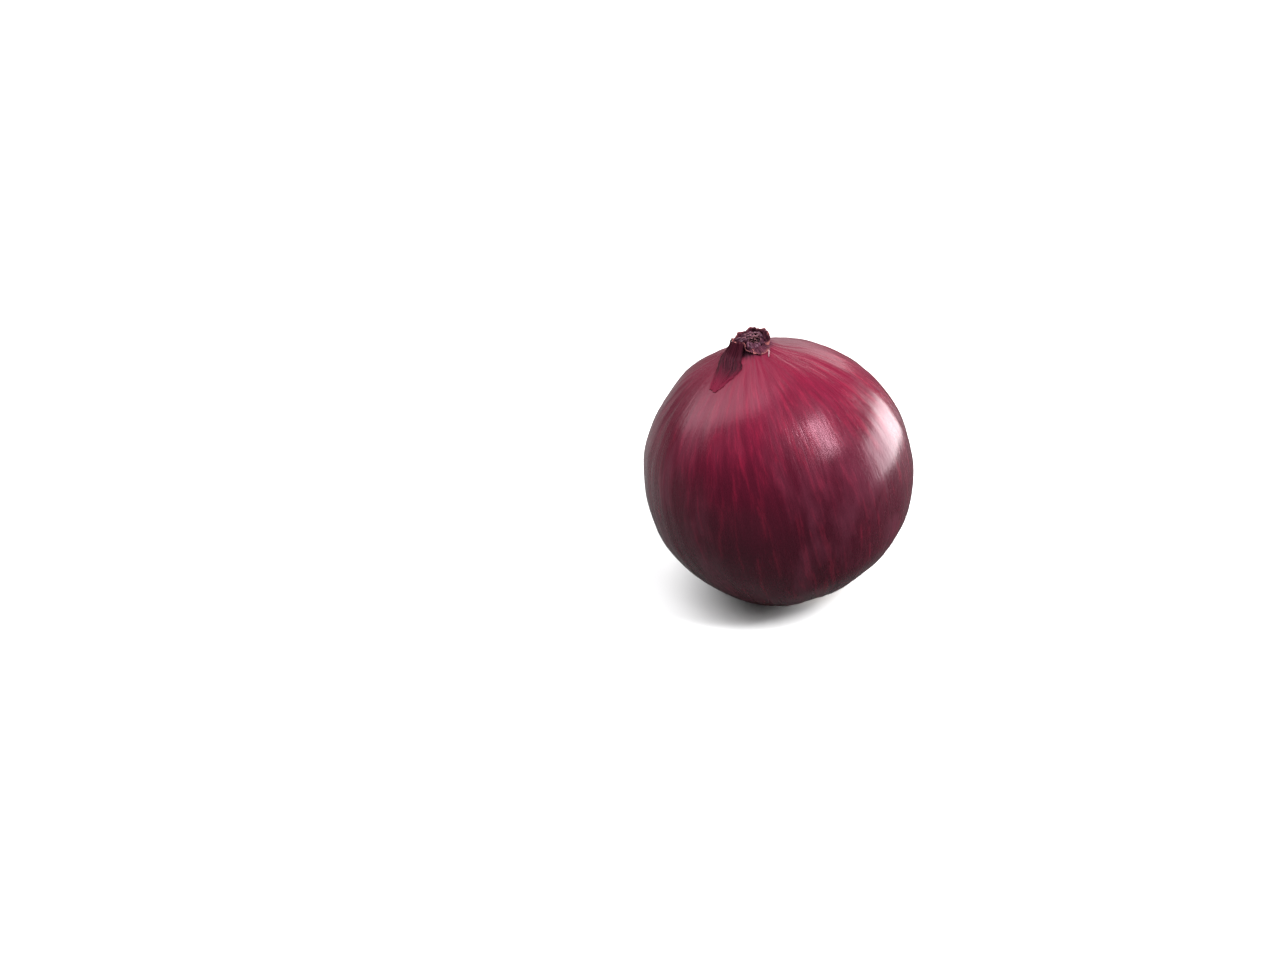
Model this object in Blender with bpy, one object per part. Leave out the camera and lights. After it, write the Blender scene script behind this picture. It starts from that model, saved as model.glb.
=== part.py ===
"""A globe onion as picked and dried: the grown bulb, a loose dry scale and a dried root tuft.

The onion is first laid out about its own growth axis, with the widest level at height zero,
then leaned over as one and set down on a small flat spot. The origin ends up at the bottom
centre of its box, +Z up.
"""

import math

import bmesh
import bpy
from mathutils import Matrix, Vector
from mathutils.bvhtree import BVHTree

# Driving dimensions, in metres and degrees
BULB_DIAMETER = 0.082
CROWN_HEIGHT = 0.0410  # from the widest level up to where the shoulder would close
BASE_DEPTH = 0.0400  # from the widest level down to where the base would close
PLATE_DEPTH = 0.0388  # from the widest level down to the flat root plate
NECK_RADIUS = 0.0052
NECK_LENGTH = 0.0033
NECK_NOD = 0.0012  # how far the crumpled neck tip leans off the growth axis
FLARE_HEIGHT = 0.0026  # how far the shoulder sweeps up into the neck
FLARE_WIDTH = 0.0032
LEAN = 14.5  # growth axis from the vertical
LEAN_HEADING = 163.0  # compass of the lean, from +X towards +Y
SPOT_DEPTH = 0.0010  # how much of the round underside the flat spot takes away
FIT_GAP = 0.0003  # clearance between pieces that lie on each other

SCALE_START = 0.0012  # the loose scale starts this far outside the neck
SCALE_LENGTH = 0.0124  # measured outwards over the shoulder
SCALE_WIDTH = 0.0105
SCALE_THICKNESS = 0.0007
SCALE_HEADING = 241.0

TUFT_REACH = 0.0125  # from the middle of the root plate to the root ends
TUFT_HEIGHT = 0.0028
TUFT_MIN_HEIGHT = 0.0006
TUFT_SPREAD = 200.0  # the fan of roots on the side where the root plate lifts off
ROOT_COUNT = 13

AROUND = 64  # facets round the bulb
# Slight unevenness of a grown bulb: waves round it, their height as a share, their turn
LOBES = ((2, 0.0068, 135.0), (3, 0.0070, 17.5))


def dome(radius, depth):
    """Height of a half ellipsoid of the bulb's diameter at a distance from its axis."""
    share = min(radius / (BULB_DIAMETER / 2), 1.0)
    return depth * math.sqrt(1.0 - share * share)


def crown(radius):
    """Height of the upper skin: a dome that sweeps up into the neck."""
    sweep = FLARE_HEIGHT * math.exp(-(radius - NECK_RADIUS) / FLARE_WIDTH)
    return dome(radius, CROWN_HEIGHT) + sweep


def lobe(azimuth):
    """Share by which the grown bulb is wider or narrower than a turned one."""
    return 1.0 + sum(
        height * math.cos(count * (azimuth - math.radians(turn)))
        for count, height, turn in LOBES
    )


def grown(radius, azimuth, height):
    """A point of the uneven bulb. The neck and the poles stay on the axis."""
    inner = min(radius / (BULB_DIAMETER / 4), 1.0)
    wide = radius * (1.0 + (lobe(azimuth) - 1.0) * inner)
    return Vector((wide * math.cos(azimuth), wide * math.sin(azimuth), height))


def bulb_profile():
    """Distance from the axis and height, from the root plate up to the neck tip."""
    widest = BULB_DIAMETER / 2
    points = [(0.0, -PLATE_DEPTH)]
    plate_angle = math.asin(min(PLATE_DEPTH / BASE_DEPTH, 1.0))
    base_steps = 13
    for step in range(base_steps + 1):
        angle = plate_angle * (1.0 - step / base_steps)
        points.append((widest * math.cos(angle), -BASE_DEPTH * math.sin(angle)))
    crown_steps = 20
    neck_angle = math.acos(NECK_RADIUS / widest)
    for step in range(1, crown_steps + 1):
        radius = widest * math.cos(neck_angle * step / crown_steps)
        points.append((radius, crown(radius)))
    neck_foot = crown(NECK_RADIUS)
    # the pinched waist, the ruffled lip and the closed top of the neck
    for spread, rise in ((0.92, 0.25), (0.95, 0.60), (1.12, 0.85), (0.80, 1.0)):
        points.append((NECK_RADIUS * spread, neck_foot + NECK_LENGTH * rise))
    points.append((0.0, neck_foot + NECK_LENGTH * 0.96))
    return points


def lean_matrix():
    """Turns the growth axis from upright to its lean."""
    heading = math.radians(LEAN_HEADING)
    hinge = Vector((-math.sin(heading), math.cos(heading), 0.0))
    return Matrix.Rotation(math.radians(LEAN), 4, hinge)


def nod(point):
    """Tips the neck over, away from the lean, more towards its end."""
    foot = crown(NECK_RADIUS)
    share = max((point.z - foot) / NECK_LENGTH, 0.0)
    heading = math.radians(LEAN_HEADING + 180.0)
    step = NECK_NOD * share * share
    return point + Vector((math.cos(heading) * step, math.sin(heading) * step, 0.0))


def material(name, colour, roughness):
    surface = bpy.data.materials.new(name)
    surface.use_nodes = True
    shader = surface.node_tree.nodes["Principled BSDF"]
    shader.inputs["Base Color"].default_value = (*colour, 1.0)
    shader.inputs["Roughness"].default_value = roughness
    shader.inputs["Metallic"].default_value = 0.0
    return surface


def add_piece(name, shape, surface):
    """Puts a finished bmesh into the scene as one named object."""
    bmesh.ops.recalc_face_normals(shape, faces=shape.faces)
    mesh = bpy.data.meshes.new(name)
    shape.to_mesh(mesh)
    shape.free()
    mesh.materials.append(surface)
    mesh.shade_smooth()
    mesh.set_sharp_from_angle(angle=math.radians(40.0))
    piece = bpy.data.objects.new(name, mesh)
    bpy.context.scene.collection.objects.link(piece)
    return piece


def bulb_shape():
    """The turned profile made uneven, leaned over and cut flat where it rests."""
    shape = bmesh.new()
    row = [shape.verts.new((radius, 0.0, height)) for radius, height in bulb_profile()]
    edges = [shape.edges.new(pair) for pair in zip(row, row[1:])]
    bmesh.ops.spin(
        shape,
        geom=row + edges,
        axis=(0.0, 0.0, 1.0),
        cent=(0.0, 0.0, 0.0),
        angle=math.tau,
        steps=AROUND,
        use_merge=True,
    )
    bmesh.ops.remove_doubles(shape, verts=shape.verts, dist=0.00001)
    for vert in shape.verts:
        radius = math.hypot(vert.co.x, vert.co.y)
        azimuth = math.atan2(vert.co.y, vert.co.x)
        vert.co = nod(grown(radius, azimuth, vert.co.z))
    shape.transform(lean_matrix())
    lowest = min(vert.co.z for vert in shape.verts)
    shape.transform(Matrix.Translation((0.0, 0.0, -lowest - SPOT_DEPTH)))
    cut = bmesh.ops.bisect_plane(
        shape,
        geom=shape.verts[:] + shape.edges[:] + shape.faces[:],
        dist=0.000001,
        plane_co=(0.0, 0.0, 0.0),
        plane_no=(0.0, 0.0, 1.0),
        clear_inner=True,
    )
    rim = [item for item in cut["geom_cut"] if isinstance(item, bmesh.types.BMEdge)]
    bmesh.ops.contextual_create(shape, geom=rim)
    return shape, -lowest - SPOT_DEPTH


def slab_shape(upper, lower):
    """A closed slab between two equal grids of points."""
    shape = bmesh.new()
    rows = len(upper)
    columns = len(upper[0])
    top = [[shape.verts.new(point) for point in line] for line in upper]
    bottom = [[shape.verts.new(point) for point in line] for line in lower]
    for row in range(rows - 1):
        for column in range(columns - 1):
            around = ((row, column), (row, column + 1), (row + 1, column + 1), (row + 1, column))
            shape.faces.new([top[i][j] for i, j in around])
            shape.faces.new([bottom[i][j] for i, j in reversed(around)])
    border = [(0, j) for j in range(columns)]
    border += [(i, columns - 1) for i in range(1, rows)]
    border += [(rows - 1, j) for j in range(columns - 2, -1, -1)]
    border += [(i, 0) for i in range(rows - 2, 0, -1)]
    for (i, j), (k, m) in zip(border, border[1:] + border[:1]):
        shape.faces.new((top[i][j], bottom[i][j], bottom[k][m], top[k][m]))
    return shape


def scale_shape(raise_by):
    """A dry outer scale that lies over the shoulder, from the neck outwards."""
    rows = 12
    columns = 9
    grids = ([], [])
    for row in range(rows + 1):
        along = row / rows
        radius = NECK_RADIUS + SCALE_START + SCALE_LENGTH * along
        rounding = math.sqrt(max(1.0 - max(along - 0.55, 0.0) ** 2 / 0.215, 0.05))
        half = SCALE_WIDTH / 2 * rounding * (0.55 + 0.45 * min(along / 0.5, 1.0))
        step = 0.00005
        slope = (crown(radius + step) - crown(radius - step)) / (2 * step)
        lines = ([], [])
        for column in range(columns + 1):
            across = 2.0 * column / columns - 1.0
            azimuth = math.radians(SCALE_HEADING) + across * half / radius
            outward = Vector((math.cos(azimuth), math.sin(azimuth), 0.0))
            normal = (Vector((0.0, 0.0, 1.0)) - outward * slope).normalized()
            foot = grown(radius, azimuth, crown(radius))
            lines[0].append(foot + normal * (FIT_GAP + SCALE_THICKNESS))
            lines[1].append(foot + normal * FIT_GAP)
        grids[0].append(lines[0])
        grids[1].append(lines[1])
    shape = slab_shape(grids[0], grids[1])
    shape.transform(Matrix.Translation((0.0, 0.0, raise_by)) @ lean_matrix())
    return shape


def clearance(tree, point):
    """Height of the bulb's underside over a point of the resting surface."""
    below = Vector((point.x, point.y, -0.001))
    hit = tree.ray_cast(below, Vector((0.0, 0.0, 1.0)))
    return hit[0].z if hit[0] is not None else math.inf


def tuft_shape(bulb):
    """Dried roots pressed into a fan between the lifted root plate and the surface."""
    tree = BVHTree.FromBMesh(bulb)
    plate_middle = lean_matrix() @ Vector((0.0, 0.0, -PLATE_DEPTH))
    middle = Vector((plate_middle.x, plate_middle.y, 0.0))
    heading = math.radians(LEAN_HEADING + 180.0)
    needed = TUFT_MIN_HEIGHT + FIT_GAP
    columns = ROOT_COUNT * 3
    rows = 6
    upper = []
    lower = []
    for column in range(columns + 1):
        share = column / columns
        azimuth = heading + math.radians(TUFT_SPREAD) * (share - 0.5)
        outward = Vector((math.cos(azimuth), math.sin(azimuth), 0.0))
        ragged = 1.0 - 0.10 * abs(math.sin(math.pi * ROOT_COUNT * share))
        reach = TUFT_REACH * ragged
        start = reach - 0.0015
        while start > 0.001 and clearance(tree, middle + outward * (start - 0.0002)) > needed:
            start -= 0.0002
        tops = []
        feet = []
        for row in range(rows + 1):
            spot = middle + outward * (start + (reach - start) * row / rows)
            room = clearance(tree, spot) - FIT_GAP
            droop = TUFT_HEIGHT * (1.0 - 0.6 * row / rows)
            height = max(min(room, droop), TUFT_MIN_HEIGHT * 0.8)
            tops.append(spot + Vector((0.0, 0.0, height)))
            feet.append(spot)
        upper.append(tops)
        lower.append(feet)
    return slab_shape(upper, lower)


def main():
    for old in list(bpy.data.objects):
        bpy.data.objects.remove(old, do_unlink=True)
    bulb, raise_by = bulb_shape()
    shapes = (
        ("bulb", bulb, material("purple_skin", (0.16, 0.018, 0.045), 0.32)),
        ("loose_scale", scale_shape(raise_by), material("dry_scale", (0.10, 0.03, 0.035), 0.55)),
        ("root_tuft", tuft_shape(bulb), material("dried_roots", (0.42, 0.31, 0.18), 0.85)),
    )
    corners = [vert.co.copy() for _, shape, _ in shapes for vert in shape.verts]
    middle_x = (min(c.x for c in corners) + max(c.x for c in corners)) / 2
    middle_y = (min(c.y for c in corners) + max(c.y for c in corners)) / 2
    for name, shape, surface in shapes:
        shape.transform(Matrix.Translation((-middle_x, -middle_y, 0.0)))
        add_piece(name, shape, surface)


main()
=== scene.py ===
# %% [markdown]
# A red globe onion, dried and whole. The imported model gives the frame: a plain bulb, a plain loose
# scale and a plain tuft of roots. This script dresses them: a fine skin with veins and pleats, a
# crumpled neck, a papery scale, a corky root plate and wiry roots, under soft studio light.

# %% Load the frame
import math
import random

import bpy
import numpy as np
from mathutils import Matrix, Vector, noise
from mathutils.bvhtree import BVHTree


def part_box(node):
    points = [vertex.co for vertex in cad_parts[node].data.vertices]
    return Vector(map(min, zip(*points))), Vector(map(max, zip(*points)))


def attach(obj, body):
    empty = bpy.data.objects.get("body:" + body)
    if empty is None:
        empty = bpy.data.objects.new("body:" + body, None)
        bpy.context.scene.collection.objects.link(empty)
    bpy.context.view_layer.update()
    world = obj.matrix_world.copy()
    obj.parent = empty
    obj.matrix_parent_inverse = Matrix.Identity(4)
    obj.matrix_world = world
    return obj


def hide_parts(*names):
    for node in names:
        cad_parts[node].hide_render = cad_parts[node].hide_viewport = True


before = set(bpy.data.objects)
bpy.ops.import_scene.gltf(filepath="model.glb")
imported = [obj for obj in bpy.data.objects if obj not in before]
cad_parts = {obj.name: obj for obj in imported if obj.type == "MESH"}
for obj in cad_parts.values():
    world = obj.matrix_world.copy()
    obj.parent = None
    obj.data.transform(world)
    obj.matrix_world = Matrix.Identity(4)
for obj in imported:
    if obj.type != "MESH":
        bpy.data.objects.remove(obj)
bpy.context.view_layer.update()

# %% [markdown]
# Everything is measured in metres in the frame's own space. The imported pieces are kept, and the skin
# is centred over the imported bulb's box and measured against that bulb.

MM = 0.001

# %% [markdown]
# The bulb was designed about its own growth axis, with the widest level at height zero, and then
# leaned over. The same sizes are named here, because the fine skin follows the same curve. A skin
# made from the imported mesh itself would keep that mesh's facets, so the curve is used instead and
# the distance between the two is measured afterwards.

# %% Sizes of the onion about its growth axis
RADIUS = 41.0 * MM
CROWN = 41.0 * MM
BASE = 40.0 * MM
PLATE = 38.8 * MM
NECK = 5.2 * MM
NECK_LENGTH = 3.3 * MM
FLARE = 2.6 * MM
FLARE_WIDTH = 3.2 * MM
LEAN = math.radians(14.5)
LEAN_HEADING = math.radians(163.0)
SPOT = 1.0 * MM
LOBES = ((2, 0.0068, 135.0), (3, 0.0070, 17.5))


def crown_height(radius):
    """Height of the upper skin at a distance from the growth axis."""
    dome = CROWN * np.sqrt(np.clip(1.0 - (radius / RADIUS) ** 2, 0.0, 1.0))
    return dome + FLARE * np.exp(-(radius - NECK) / FLARE_WIDTH)


def lobed(radius, azimuth):
    """The distance from the axis once the bulb has grown a little out of round."""
    share = sum(high * np.cos(count * (azimuth - math.radians(turn))) for count, high, turn in LOBES)
    return radius * (1.0 + share * np.minimum(radius / (RADIUS / 2), 1.0))


heading = Vector((math.cos(LEAN_HEADING), math.sin(LEAN_HEADING), 0.0))
LEANED = Matrix.Rotation(LEAN, 4, Vector((0, 0, 1)).cross(heading))
print("growth axis:", [round(v, 3) for v in LEANED.col[2][:3]])

# %% [markdown]
# Onion skin is never quite regular. Ripples round the bulb are sums of waves with whole numbers of
# crests, so that they meet themselves after one turn. Their phases drift a little on the way down,
# which makes the crests wander, join and part like the veins of the leaf.

# %% Ripples that run round the bulb
def ripples(azimuth, along, fewest, most, seed, drift=1.2):
    """Waves round the bulb with an average size of one."""
    rng = np.random.default_rng(seed)
    total = np.zeros_like(azimuth)
    power = 0.0
    for count in range(fewest, most + 1):
        size = rng.normal()
        phase = rng.uniform(0.0, math.tau)
        slide = rng.normal() * drift
        total += size * np.cos(count * azimuth + phase + slide * along)
        power += size * size / 2
    return total / math.sqrt(power)


def smooth(value, low, high):
    """0 below low, 1 above high, with a soft step between."""
    share = np.clip((value - low) / (high - low), 0.0, 1.0)
    return share * share * (3.0 - 2.0 * share)


# %% [markdown]
# The outer skin is one closed sheet: up over the shoulder, up the outside of the neck, over its torn
# lip and down into the crumpled mouth. It starts as a sphere primitive, whose lines of latitude
# and longitude suit an onion: the veins run along the meridians. The rings are then moved to their
# place on the onion's curve, crowded together at the neck, where there is most to show.

# %% The sphere that becomes the skin
AROUND = 120
RINGS = 51
CUTS = 3


def start_clean():
    """Deselects everything, so that an operator acts only on what is added next."""
    if bpy.context.object and bpy.context.object.mode != "OBJECT":
        bpy.ops.object.mode_set(mode="OBJECT")
    bpy.ops.object.select_all(action="DESELECT")


def subdivide(cuts):
    """Cuts every edge of the active piece, as in edit mode with all of it selected."""
    bpy.ops.object.mode_set(mode="EDIT")
    bpy.ops.mesh.select_all(action="SELECT")
    bpy.ops.mesh.subdivide(number_cuts=cuts)
    bpy.ops.object.mode_set(mode="OBJECT")


start_clean()
bpy.ops.mesh.primitive_uv_sphere_add(segments=AROUND, ring_count=RINGS, radius=RADIUS)
skin = bpy.context.object
skin.name = "onion_skin"
subdivide(CUTS)


def read_points(piece):
    """All points of a piece, one in each row."""
    points = np.empty(len(piece.data.vertices) * 3)
    piece.data.vertices.foreach_get("co", points)
    return points.reshape(-1, 3)


def write_points(piece, points):
    """Moves all points of a piece to the places given."""
    piece.data.vertices.foreach_set("co", np.ascontiguousarray(points, dtype=float).ravel())
    piece.data.update()


ball = read_points(skin)
azimuth = np.arctan2(ball[:, 1], ball[:, 0])
reach = np.linalg.norm(ball, axis=1)
station = np.arccos(np.clip(ball[:, 2] / reach, -1.0, 1.0)) / math.pi
print("skin starts with", len(ball), "points")

# %% [markdown]
# Station 0 is the middle of the neck's mouth and station 1 the middle of the root plate. The neck
# has shrivelled as it dried, so it isn't round any more: it is folded in at nine places, deepest at
# the front left. Beside that fold, a fold of skin stands like a tent against the neck.

# %% Stations down the skin, and the neck's folds
LIP, FOOT, SHOULDER, PLATE_RIM = 0.11, 0.23, 0.45, 0.965
SHOULDER_RADIUS = 24.0 * MM
MOUTH_HEADING = math.radians(312.0)
DROOP_HEADING, DROOP_HALF, DROOP = math.radians(317.0), 34.0, 1.50
TENT_HEADING, TENT_HALF, TENT_SHARE = math.radians(203.0), 32.0, 0.88
NOD = 1.2 * MM
OFF_CENTRE = (1.3 * MM, -0.9 * MM)
NECK_FOLDS = (  # heading in degrees, depth as a share of the radius, half width in degrees
    (241.0, 0.42, 17.0), (290.0, 0.08, 8.0), (338.0, 0.16, 11.0), (18.0, 0.12, 10.0),
    (62.0, 0.15, 12.0), (108.0, 0.14, 10.0), (150.0, 0.12, 9.0), (188.0, 0.10, 8.0),
    (207.0, 0.07, 6.0),
)


def away_from(turn, heading):
    """Angle from a heading, between minus and plus half a turn, in degrees."""
    return np.degrees(np.angle(np.exp(1j * (turn - heading))))


def groove_share(turn):
    """How deep the neck is folded in at a heading, as a share of its radius."""
    share = np.zeros_like(turn)
    for place, deep, wide in NECK_FOLDS:
        share = share + deep * np.exp(-(away_from(turn, math.radians(place)) / wide) ** 2)
    return share


def tent_height(turn):
    """Extra height at the foot, where a fold of skin stands like a tent against the neck."""
    return TENT_SHARE * NECK_LENGTH * np.exp(-(away_from(turn, TENT_HEADING) / TENT_HALF) ** 4)


print("folds in the neck:", len(NECK_FOLDS))

# %% [markdown]
# The neck's lip is where the green leaves were torn off. It stands high at the back and left. On the
# open side it is torn down to the foot, and there it has folded outward and lies on the shoulder.
# Three sets of ripples, from coarse to fine, make its edge ragged.

# %% How the torn lip runs
TORN_LEFT = (-92.0, -26.0)  # degrees from the mouth's heading over which the lip comes down
TORN_RIGHT = (15.0, 70.0)  # and over which it rises again
HIGH_SHARE, TORN_SHARE = 0.95, 0.92  # of the neck's length


def torn_down(turn):
    """1 on the open side of the mouth, where the lip is torn down, and 0 on the high side."""
    side_on = away_from(turn, MOUTH_HEADING)
    return smooth(side_on, *TORN_LEFT) * (1.0 - smooth(side_on, *TORN_RIGHT))


def droop(turn):
    """1 where the torn lip has folded outward and lies down on the shoulder."""
    return np.exp(-(away_from(turn, DROOP_HEADING) / DROOP_HALF) ** 2)


def lip_height(turn):
    """Height of the torn lip above the neck's foot."""
    torn = 0.06 * ripples(turn, 0.0, 3, 9, 5) + 0.022 * ripples(turn, 0.0, 14, 30, 6)
    torn = torn + 0.010 * ripples(turn, 0.0, 40, 90, 7)
    return NECK_LENGTH * (HIGH_SHARE - TORN_SHARE * torn_down(turn) + torn) - DROOP * MM * droop(turn)


lip = lip_height(azimuth)
print("lip from", round(lip.min() / MM, 1), "to", round(lip.max() / MM, 1), "mm above the foot")

# %% [markdown]
# The sphere's rings are now shared out. The first ones line the mouth, the next ones are the neck's
# wall, and the rest follow the onion's curve down to the root plate. First come the mouth and the
# wall: the mouth is a shallow hollow, and the wall leans out from the foot to the lip.

# %% Rings of the mouth and the wall
MOUTH_DEPTH = 0.4
LIP_LEAN, TORN_LEAN, DROOP_LEAN = 1.13, 0.10, 0.25  # of the neck's radius


def spread(low, high):
    """How far a ring lies between two stations, from 0 to 1."""
    return np.clip((station - low) / (high - low), 0.0, 1.0)


foot_height = float(crown_height(np.float64(NECK)))
tent = tent_height(azimuth)
mouth, wall = spread(0.0, LIP), spread(LIP, FOOT)
in_mouth = station < LIP
in_wall = (station >= LIP) & (station < FOOT)
radius = np.zeros_like(station)
height = np.zeros_like(station)
lip_out = NECK * (LIP_LEAN + TORN_LEAN * torn_down(azimuth) + DROOP_LEAN * droop(azimuth))
lip_out *= 1.0 + 0.025 * ripples(azimuth, 0.0, 2, 6, 8)
radius[in_mouth] = (lip_out * 0.94 * mouth ** 0.6)[in_mouth]
height[in_mouth] = (foot_height - MOUTH_DEPTH * MM + (lip + MOUTH_DEPTH * MM) * mouth ** 4)[in_mouth]
radius[in_wall] = (NECK * wall + lip_out * (1 - wall))[in_wall]
height[in_wall] = (foot_height + tent + (lip - tent) * (1 - wall))[in_wall]
print("neck foot at", round(foot_height / MM, 1), "mm above the widest level")

# %% [markdown]
# The other rings are set by their angle from the growth axis, as on a ball. They lie closer together
# on the shoulder than on the belly. The last ones cover the flat root plate.

# %% Rings of the shoulder, the belly and the root plate
upper, lower, plate = spread(FOOT, SHOULDER), spread(SHOULDER, PLATE_RIM), spread(PLATE_RIM, 1.0)
in_upper = (station >= FOOT) & (station < SHOULDER)
in_lower = (station >= SHOULDER) & (station < PLATE_RIM)
on_plate = station >= PLATE_RIM
plate_radius = RADIUS * math.sqrt(1.0 - (PLATE / BASE) ** 2)
foot_turn, shoulder_turn = math.asin(NECK / RADIUS), math.asin(SHOULDER_RADIUS / RADIUS)
plate_turn = math.pi - math.asin(plate_radius / RADIUS)
angle = foot_turn + (shoulder_turn - foot_turn) * upper
radius[in_upper] = (RADIUS * np.sin(angle))[in_upper]
height[in_upper] = crown_height(RADIUS * np.sin(angle))[in_upper]
angle = shoulder_turn + (plate_turn - shoulder_turn) * lower
radius[in_lower] = (RADIUS * np.sin(angle))[in_lower]
ring_height = np.where(np.cos(angle) > 0, crown_height(RADIUS * np.sin(angle)), BASE * np.cos(angle))
height[in_lower] = ring_height[in_lower]
radius[on_plate] = (plate_radius * (1 - plate))[on_plate]
height[on_plate] = -PLATE
print("root plate's radius:", round(plate_radius / MM, 1), "mm")

# %% [markdown]
# The folds press the rings of the neck inward, and sink the skin at its foot a little. Below the
# foot they run out into the shoulder over a few millimetres, and so does the tent.

# %% The neck's folds and the tent pressed into the rings
FOLD_SINK = 0.22  # of the neck's radius
FOLD_RUN, SINK_RUN, TENT_RUN = 4.0 * MM, 6.0 * MM, 4.6 * MM
from_neck = np.maximum(radius - NECK, 0.0) * (height > 0) + RADIUS * (height <= 0)
groove = groove_share(azimuth + 0.05 * ripples(azimuth, station * 9.0, 2, 6, 9))
radius[in_mouth] *= (1.0 - groove * mouth)[in_mouth]
radius[in_wall] *= (1.0 - groove * (1.0 - 0.5 * wall))[in_wall]
height[in_wall] -= (FOLD_SINK * NECK * groove * wall)[in_wall]
height[in_upper] += (tent * np.exp(-(from_neck / TENT_RUN) ** 1.15))[in_upper]
radius[in_upper] *= (1.0 - 0.5 * groove * np.exp(-from_neck / FOLD_RUN))[in_upper]
height[in_upper] -= (FOLD_SINK * NECK * groove * np.exp(-from_neck / SINK_RUN))[in_upper]
print("deepest fold:", round(100 * groove.max()), "% of the neck's radius")

# %% [markdown]
# How far along its meridian a point lies, from the neck's foot down to the root plate, is kept for the
# relief and for the colours. The veins wander a little as they run down, and meet themselves round
# the onion because the wandering is a sum of ripples too.

# %% Distance down the meridian
along = np.where(in_upper | in_lower | on_plate, np.arccos(np.clip(height / RADIUS, -1, 1)), 0.12)
along = along / math.pi
wandering = azimuth + 0.030 * ripples(azimuth, along * 9.0, 2, 7, 11) * smooth(along, 0.05, 0.5)
print("meridian from", round(along.min(), 2), "to", round(along.max(), 2), "of a half turn")

# %% [markdown]
# The relief is laid on the smooth shape along its normals. Near the neck the skin has shrivelled into
# deep pleats. Over the shoulder they die down to the leaf's raised veins and, lower, to a slight
# waviness. Only what is finer than these is left to the material's bump.

# %% Relief of the skin
PLEATS, FINE_PLEATS, VEINS, FINE_VEINS = 0.13, 0.05, 0.022, 0.012  # heights in millimetres
RIBS, WAVES, DENTS, CRUMPLE = 0.040, 0.10, 0.14, 0.45
near_neck = np.exp(-from_neck / (6.0 * MM))
over_shoulder = np.exp(-from_neck / (22.0 * MM))
body_only = smooth(station, FOOT - 0.03, FOOT + 0.10)
pleats = ripples(wandering, along * 6.0, 11, 26, 21)
fine_pleats = ripples(wandering, along * 8.0, 28, 60, 22)
vein_line = np.exp(-(ripples(wandering, along * 7.0, 22, 52, 23) / 0.30) ** 2)
waves = ripples(wandering, along * 3.0, 4, 11, 24, drift=0.8)
dents = ripples(azimuth, along * 9.0, 1, 5, 25, drift=3.0)
relief = (PLEATS * pleats + FINE_PLEATS * fine_pleats) * MM * near_neck
relief *= 1.0 - 0.8 * np.exp(-((station - LIP) / 0.02) ** 2)
ribs = ripples(wandering, along * 5.0, 15, 38, 27)
relief += VEINS * MM * vein_line * (0.45 + 0.55 * over_shoulder) * body_only
relief += FINE_VEINS * MM * fine_pleats * over_shoulder * body_only
relief += RIBS * MM * ribs * smooth(from_neck, 4 * MM, 18 * MM)
relief += (WAVES * MM * waves + DENTS * MM * dents) * smooth(from_neck, 2 * MM, 18 * MM)
relief *= 1.0 - smooth(station, PLATE_RIM - 0.05, PLATE_RIM)
crumple = in_mouth * np.sin(math.pi * np.clip(mouth, 0, 1))
relief += CRUMPLE * MM * crumple * ripples(azimuth, mouth * 9.0, 3, 12, 26, drift=4.0)

# %% [markdown]
# The neck doesn't stand in the middle of the crown. It is moved a little to one side, and its top
# tips over towards the open side of the mouth. The shift fades out over the shoulder. The same
# function moves the leaf ends, the strand and the loose scale later, so that all stay together.

# %% The neck moved aside and tipped
SHIFT_RUN = 11.0 * MM


def place_on_axis(radius, azimuth, height):
    """Points about the growth axis, in the onion's slightly lobed outline."""
    wide = lobed(radius, azimuth)
    return np.stack([wide * np.cos(azimuth), wide * np.sin(azimuth), height], axis=1)


def nod(points):
    """Moves the neck off the middle and tips its top over, towards the open side of the mouth."""
    share = np.clip((points[:, 2] - foot_height) / NECK_LENGTH, 0.0, 1.2)
    beyond = np.maximum(np.hypot(points[:, 0], points[:, 1]) - NECK, 0.0)
    near = np.exp(-(beyond / SHIFT_RUN) ** 1.5) * (points[:, 2] > 0)
    tipped = points.copy()
    tipped[:, 0] += OFF_CENTRE[0] * near
    tipped[:, 1] += OFF_CENTRE[1] * near
    tipped[:, 0] += math.cos(MOUTH_HEADING) * NOD * share ** 1.4
    tipped[:, 1] += math.sin(MOUTH_HEADING) * NOD * share ** 1.4
    return tipped


shape = nod(place_on_axis(radius, azimuth, height))
write_points(skin, shape)
normals = np.empty(len(ball) * 3)
skin.data.vertex_normals.foreach_get("vector", normals)
normals = normals.reshape(-1, 3)
print("relief from", round(relief.min() / MM, 2), "to", round(relief.max() / MM, 2), "mm")

# %% [markdown]
# The shape is now leaned over and set down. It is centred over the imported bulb's box, and what would
# lie under the surface is pressed flat: that is the small spot which the onion rests on. The skin is
# held a hair higher under the root plate, where it would otherwise lie in the same plane as the plate.

# %% Lean the skin and set it down
LEANED_AXES = np.array(LEANED.to_3x3())
PLATE_GAP = 0.20 * MM
plain = shape @ LEANED_AXES.T
bulb_low, bulb_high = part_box("bulb")
middle = (np.array(bulb_low) + np.array(bulb_high)) / 2
SHIFT = np.array([
    middle[0] - (plain[:, 0].min() + plain[:, 0].max()) / 2,
    middle[1] - (plain[:, 1].min() + plain[:, 1].max()) / 2,
    -plain[:, 2].min() - SPOT,
])


def set_down(points):
    """From the growth axis's space to the frame."""
    return points @ LEANED_AXES.T + SHIFT


def to_frame(point):
    """One point from the growth axis's space to the frame."""
    return Vector(set_down(np.array([point[:]]))[0])


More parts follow.
